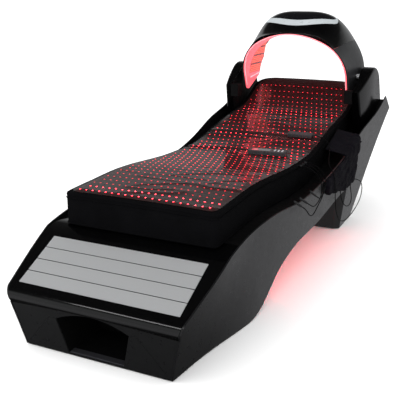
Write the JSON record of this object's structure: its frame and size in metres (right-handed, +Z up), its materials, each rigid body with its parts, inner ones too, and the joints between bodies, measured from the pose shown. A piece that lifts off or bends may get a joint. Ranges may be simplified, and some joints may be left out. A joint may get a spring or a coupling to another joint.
{
  "type": "red light therapy bed",
  "caption": "Long curved spa bed on a foot base and rear pedestal, with a cushion, a lit mat with a handset, and an arched light hood that tilts back between two towers.",
  "frame": {"origin": "centre of the bed's box at floor level", "axes": "+Y from the foot end to the head end, +X to the right seen from the foot end, +Z up"},
  "size_m": [0.8722, 2.35, 1.0244],
  "materials": {
    "gloss_black": "gloss",
    "satin_panel": "satin",
    "satin_hood": "satin",
    "matt_black": "matt",
    "button_grey": "satin",
    "frame_steel": "powder coat",
    "brushed_strip": "brushed",
    "bright_trim": "polished",
    "foot_rubber": "matt",
    "black_cloth": "woven",
    "led_sheet": "satin",
    "clear_vinyl": "gloss",
    "red_light": "lit",
    "lit_liner": "lit, satin",
    "circuit_board": "satin",
    "dark_glass": "polished",
    "supply_case": "satin",
    "bush_bronze": "machined",
    "shaft_steel": "ground",
    "handset_case": "satin",
    "key_pale": "satin",
    "lead_black": "satin"
  },
  "bodies": {
    "bed": {"bag_lead": "lead_black", "bed_tray": "matt_black", "belly_pan": "matt_black", "chassis_frame": "frame_steel", "cord_bag": "black_cloth", "cushion": "black_cloth", "foot_deck": "gloss_black", "foot_strips": "brushed_strip", "front_apron": "satin_panel", "front_skirt": "satin_panel", "glow_strips": "red_light", "handset_base": "handset_case", "handset_cover": "handset_case", "handset_display": "dark_glass", "head_end_panel": "satin_panel", "junction_box": "handset_case", "lead_connectors": "lead_black", "lead_glands": "lead_black", "levelling_feet": "foot_rubber", "light_mat": "black_cloth", "mat_cover": "clear_vinyl", "mat_lead": "lead_black", "mat_led_sheet": "led_sheet", "pivot_bushes": "bush_bronze", "power_inlet": "matt_black", "power_supply": "supply_case", "rear_pedestal": "satin_panel", "side_fairing_left": "satin_panel", "side_fairing_right": "satin_panel", "side_lead_1": "lead_black", "side_lead_2": "lead_black", "side_lead_3": "lead_black", "threshold_strip": "bright_trim", "toe_recess_liner": "matt_black", "tower_block_left": "matt_black", "tower_block_right": "matt_black", "tower_frame_left": "frame_steel", "tower_frame_right": "frame_steel", "tower_panel_left": "matt_black", "tower_panel_right": "matt_black", "tower_shell_left": "gloss_black", "tower_shell_right": "gloss_black"},
    "hood": {"hood_bezel": "bright_trim", "hood_control_board": "circuit_board", "hood_crown": "gloss_black", "hood_led_boards": "circuit_board", "hood_liner": "lit_liner", "hood_screen": "dark_glass", "hood_side_left": "satin_hood", "hood_side_right": "satin_hood", "pivot_shaft_left": "shaft_steel", "pivot_shaft_right": "shaft_steel"},
    "release_button_left_body": {"release_button_left": "button_grey"},
    "release_button_right_body": {"release_button_right": "button_grey"},
    "handset_key_1_body": {"handset_key_1": "key_pale"},
    "handset_key_2_body": {"handset_key_2": "key_pale"},
    "handset_key_3_body": {"handset_key_3": "key_pale"},
    "handset_key_4_body": {"handset_key_4": "key_pale"},
    "handset_key_5_body": {"handset_key_5": "key_pale"},
    "handset_key_6_body": {"handset_key_6": "key_pale"}
  },
  "joints": [
    {"name": "hood_tilt", "type": "hinge", "parent": "bed", "child": "hood", "pos_m": [0, 0.875, 0.7], "axis": [-1, 0, 0], "range_deg": [0, 45]},
    {"name": "release_right", "type": "slide", "parent": "bed", "child": "release_button_right_body", "axis": [-1, 0, 0], "range_m": [0, 0.004], "stiffness_N_per_m": 400},
    {"name": "release_left", "type": "slide", "parent": "bed", "child": "release_button_left_body", "axis": [1, 0, 0], "range_m": [0, 0.004], "stiffness_N_per_m": 400},
    {"name": "key_1_press", "type": "slide", "parent": "bed", "child": "handset_key_1_body", "axis": [0, 0, -1], "range_m": [0, 0.0008], "stiffness_N_per_m": 300},
    {"name": "key_2_press", "type": "slide", "parent": "bed", "child": "handset_key_2_body", "axis": [0, 0, -1], "range_m": [0, 0.0008], "stiffness_N_per_m": 300},
    {"name": "key_3_press", "type": "slide", "parent": "bed", "child": "handset_key_3_body", "axis": [0, 0, -1], "range_m": [0, 0.0008], "stiffness_N_per_m": 300},
    {"name": "key_4_press", "type": "slide", "parent": "bed", "child": "handset_key_4_body", "axis": [0, 0, -1], "range_m": [0, 0.0008], "stiffness_N_per_m": 300},
    {"name": "key_5_press", "type": "slide", "parent": "bed", "child": "handset_key_5_body", "axis": [0, 0, -1], "range_m": [0, 0.0008], "stiffness_N_per_m": 300},
    {"name": "key_6_press", "type": "slide", "parent": "bed", "child": "handset_key_6_body", "axis": [0, 0, -1], "range_m": [0, 0.0008], "stiffness_N_per_m": 300}
  ]
}
